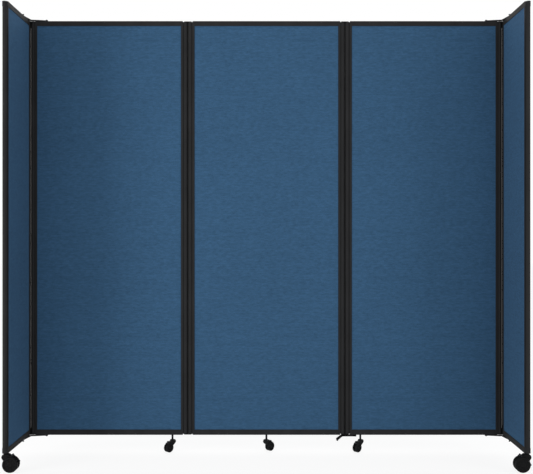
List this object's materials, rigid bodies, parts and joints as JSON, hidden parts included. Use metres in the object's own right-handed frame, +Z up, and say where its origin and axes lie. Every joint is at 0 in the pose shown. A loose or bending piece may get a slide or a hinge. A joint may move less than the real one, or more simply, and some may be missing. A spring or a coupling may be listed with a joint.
{
  "type": "ward privacy screen on wheels",
  "caption": "Folding privacy screen on casters: tall blue fabric panels in black frames, joined by double-axis hinges, with the end panels turned forward and corner braces.",
  "frame": {"origin": "on the floor under the middle of the whole screen", "axes": "+X along the row of panels to the right as seen from the side that the end panels turn to, +Y away from that side, +Z up"},
  "size_m": [2.5712, 0.4614, 2.3001],
  "materials": {
    "fabric": "woven blue cloth",
    "frame": "black powder coat",
    "steel": "black painted steel",
    "caster_plastic": "black moulded nylon",
    "caster_tread": "black moulded wheels",
    "seal": "black seal"
  },
  "bodies": {
    "panel_3": {"panel_3_board": "fabric", "panel_3_left_post": "frame", "panel_3_right_post": "frame", "panel_3_top_rail": "frame", "panel_3_bottom_rail": "frame"},
    "panel_2": {"panel_2_board": "fabric", "panel_2_left_post": "frame", "panel_2_right_post": "frame", "panel_2_top_rail": "frame", "panel_2_bottom_rail": "frame"},
    "panel_4": {"panel_4_board": "fabric", "panel_4_left_post": "frame", "panel_4_right_post": "frame", "panel_4_top_rail": "frame", "panel_4_bottom_rail": "frame"},
    "panel_1": {"panel_1_board": "fabric", "panel_1_left_post": "frame", "panel_1_right_post": "frame", "panel_1_top_rail": "frame", "panel_1_bottom_rail": "frame"},
    "panel_5": {"panel_5_board": "fabric", "panel_5_left_post": "frame", "panel_5_right_post": "frame", "panel_5_top_rail": "frame", "panel_5_bottom_rail": "frame"},
    "link_23": {"joint_23_top_link": "steel", "joint_23_bottom_link": "steel", "joint_23_seal_strip": "seal"},
    "link_34": {"joint_34_top_link": "steel", "joint_34_bottom_link": "steel", "joint_34_seal_strip": "seal"},
    "link_12": {"joint_12_top_link": "steel", "joint_12_bottom_link": "steel", "joint_12_seal_strip": "seal"},
    "link_45": {"joint_45_top_link": "steel", "joint_45_bottom_link": "steel", "joint_45_seal_strip": "seal"},
    "caster_2_swivel": {"caster_2_housing": "caster_plastic"},
    "caster_2_wheel_pair": {"caster_2_wheels": "caster_tread"},
    "caster_3_swivel": {"caster_3_housing": "caster_plastic"},
    "caster_3_wheel_pair": {"caster_3_wheels": "caster_tread"},
    "caster_4_swivel": {"caster_4_housing": "caster_plastic"},
    "caster_4_wheel_pair": {"caster_4_wheels": "caster_tread"},
    "end_caster_1_swivel": {"end_caster_1_housing": "caster_plastic"},
    "end_caster_1_wheel_pair": {"end_caster_1_wheels": "caster_tread"},
    "end_caster_1_brake": {"end_caster_1_brake_lever": "caster_plastic"},
    "end_caster_5_swivel": {"end_caster_5_housing": "caster_plastic"},
    "end_caster_5_wheel_pair": {"end_caster_5_wheels": "caster_tread"},
    "end_caster_5_brake": {"end_caster_5_brake_lever": "caster_plastic"},
    "brace_12_top": {"brace_12_top": "steel"},
    "lock_pin_12_top": {"lock_pin_12_top": "steel"},
    "brace_45_top": {"brace_45_top": "steel"},
    "lock_pin_45_top": {"lock_pin_45_top": "steel"},
    "brace_12_bottom": {"brace_12_bottom": "steel"},
    "lock_pin_12_bottom": {"lock_pin_12_bottom": "steel"},
    "brace_45_bottom": {"brace_45_bottom": "steel"},
    "lock_pin_45_bottom": {"lock_pin_45_bottom": "steel"},
    "brace_34_bottom": {"brace_34_bottom": "steel"},
    "lock_pin_34_bottom": {"lock_pin_34_bottom": "steel"}
  },
  "joints": [
    {"name": "hinge_23_inner", "type": "hinge", "parent": "panel_3", "child": "link_23", "pos_m": [-0.40503, 0.1898, 1.1875], "axis": [0, 0, 1], "range_deg": [-87, 87]},
    {"name": "hinge_23_outer", "type": "hinge", "parent": "link_23", "child": "panel_2", "pos_m": [-0.43103, 0.1898, 1.1875], "axis": [0, 0, 1], "range_deg": [-87, 87]},
    {"name": "hinge_34_inner", "type": "hinge", "parent": "panel_3", "child": "link_34", "pos_m": [0.40397, 0.1898, 1.1875], "axis": [0, 0, 1], "range_deg": [-87, 87]},
    {"name": "hinge_34_outer", "type": "hinge", "parent": "link_34", "child": "panel_4", "pos_m": [0.42997, 0.1898, 1.1875], "axis": [0, 0, 1], "range_deg": [-87, 87]},
    {"name": "hinge_12_inner", "type": "hinge", "parent": "panel_2", "child": "link_12", "pos_m": [-1.24003, 0.1898, 1.1875], "axis": [0, 0, -1], "range_deg": [-87, 87]},
    {"name": "hinge_12_outer", "type": "hinge", "parent": "link_12", "child": "panel_1", "pos_m": [-1.26603, 0.1898, 1.1875], "axis": [0, 0, -1], "range_deg": [0, 177]},
    {"name": "hinge_45_inner", "type": "hinge", "parent": "panel_4", "child": "link_45", "pos_m": [1.23897, 0.1898, 1.1875], "axis": [0, 0, -1], "range_deg": [-87, 87]},
    {"name": "hinge_45_outer", "type": "hinge", "parent": "link_45", "child": "panel_5", "pos_m": [1.26497, 0.1898, 1.1875], "axis": [0, 0, -1], "range_deg": [-177, 0]},
    {"name": "caster_2_swivel", "type": "hinge", "parent": "panel_2", "child": "caster_2_swivel", "pos_m": [-0.50003, 0.1898, 0.0895], "axis": [0, 0, 1], "continuous": true},
    {"name": "caster_2_roll", "type": "hinge", "parent": "caster_2_swivel", "child": "caster_2_wheel_pair", "pos_m": [-0.51801, 0.17243, 0.02379], "axis": [0.6947, -0.7193, 0], "continuous": true},
    {"name": "caster_3_swivel", "type": "hinge", "parent": "panel_3", "child": "caster_3_swivel", "pos_m": [-0.00053, 0.1898, 0.0895], "axis": [0, 0, 1], "continuous": true},
    {"name": "caster_3_roll", "type": "hinge", "parent": "caster_3_swivel", "child": "caster_3_wheel_pair", "pos_m": [0.01746, 0.20717, 0.02379], "axis": [-0.6947, 0.7193, 0], "continuous": true},
    {"name": "caster_4_swivel", "type": "hinge", "parent": "panel_4", "child": "caster_4_swivel", "pos_m": [0.49897, 0.1898, 0.0895], "axis": [0, 0, 1], "continuous": true},
    {"name": "caster_4_roll", "type": "hinge", "parent": "caster_4_swivel", "child": "caster_4_wheel_pair", "pos_m": [0.4801, 0.1734, 0.02379], "axis": [0.6561, -0.7547, 0], "continuous": true},
    {"name": "end_caster_1_swivel", "type": "hinge", "parent": "panel_1", "child": "end_caster_1_swivel", "pos_m": [-1.26603, -0.2007, 0.0895], "axis": [0, 0, 1], "continuous": true},
    {"name": "end_caster_1_roll", "type": "hinge", "parent": "end_caster_1_swivel", "child": "end_caster_1_wheel_pair", "pos_m": [-1.24133, -0.2007, 0.03767], "axis": [0, 1, 0], "continuous": true},
    {"name": "end_caster_1_brake", "type": "hinge", "parent": "end_caster_1_swivel", "child": "end_caster_1_brake", "pos_m": [-1.24133, -0.2007, 0.03767], "axis": [0, 1, 0], "range_deg": [-2, 20]},
    {"name": "end_caster_5_swivel", "type": "hinge", "parent": "panel_5", "child": "end_caster_5_swivel", "pos_m": [1.26497, -0.2007, 0.0895], "axis": [0, 0, 1], "continuous": true},
    {"name": "end_caster_5_roll", "type": "hinge", "parent": "end_caster_5_swivel", "child": "end_caster_5_wheel_pair", "pos_m": [1.24027, -0.2007, 0.03767], "axis": [0, -1, 0], "continuous": true},
    {"name": "end_caster_5_brake", "type": "hinge", "parent": "end_caster_5_swivel", "child": "end_caster_5_brake", "pos_m": [1.24027, -0.2007, 0.03767], "axis": [0, -1, 0], "range_deg": [-16, 16]},
    {"name": "brace_12_top_turn", "type": "hinge", "parent": "panel_2", "child": "brace_12_top", "pos_m": [-1.16903, 0.1898, 2.2855], "axis": [0, 0, -1], "range_deg": [-45, 135]},
    {"name": "lock_pin_12_top_slide", "type": "slide", "parent": "brace_12_top", "child": "lock_pin_12_top", "axis": [0, 0, 1], "range_m": [-0.005, 0]},
    {"name": "brace_45_top_turn", "type": "hinge", "parent": "panel_4", "child": "brace_45_top", "pos_m": [1.16797, 0.1898, 2.2855], "axis": [0, 0, -1], "range_deg": [-135, 45]},
    {"name": "lock_pin_45_top_slide", "type": "slide", "parent": "brace_45_top", "child": "lock_pin_45_top", "axis": [0, 0, 1], "range_m": [-0.005, 0]},
    {"name": "brace_12_bottom_turn", "type": "hinge", "parent": "panel_2", "child": "brace_12_bottom", "pos_m": [-1.16903, 0.1898, 0.0895], "axis": [0, 0, -1], "range_deg": [-45, 135]},
    {"name": "lock_pin_12_bottom_slide", "type": "slide", "parent": "brace_12_bottom", "child": "lock_pin_12_bottom", "axis": [0, 0, -1], "range_m": [-0.005, 0]},
    {"name": "brace_45_bottom_turn", "type": "hinge", "parent": "panel_4", "child": "brace_45_bottom", "pos_m": [1.16797, 0.1898, 0.0895], "axis": [0, 0, -1], "range_deg": [-135, 45]},
    {"name": "lock_pin_45_bottom_slide", "type": "slide", "parent": "brace_45_bottom", "child": "lock_pin_45_bottom", "axis": [0, 0, -1], "range_m": [-0.005, 0]},
    {"name": "brace_34_bottom_turn", "type": "hinge", "parent": "panel_4", "child": "brace_34_bottom", "pos_m": [0.47097, 0.1898, 0.0895], "axis": [0, 0, 1], "range_deg": [-127, 53]},
    {"name": "lock_pin_34_bottom_slide", "type": "slide", "parent": "brace_34_bottom", "child": "lock_pin_34_bottom", "axis": [0, 0, -1], "range_m": [-0.005, 0]}
  ]
}
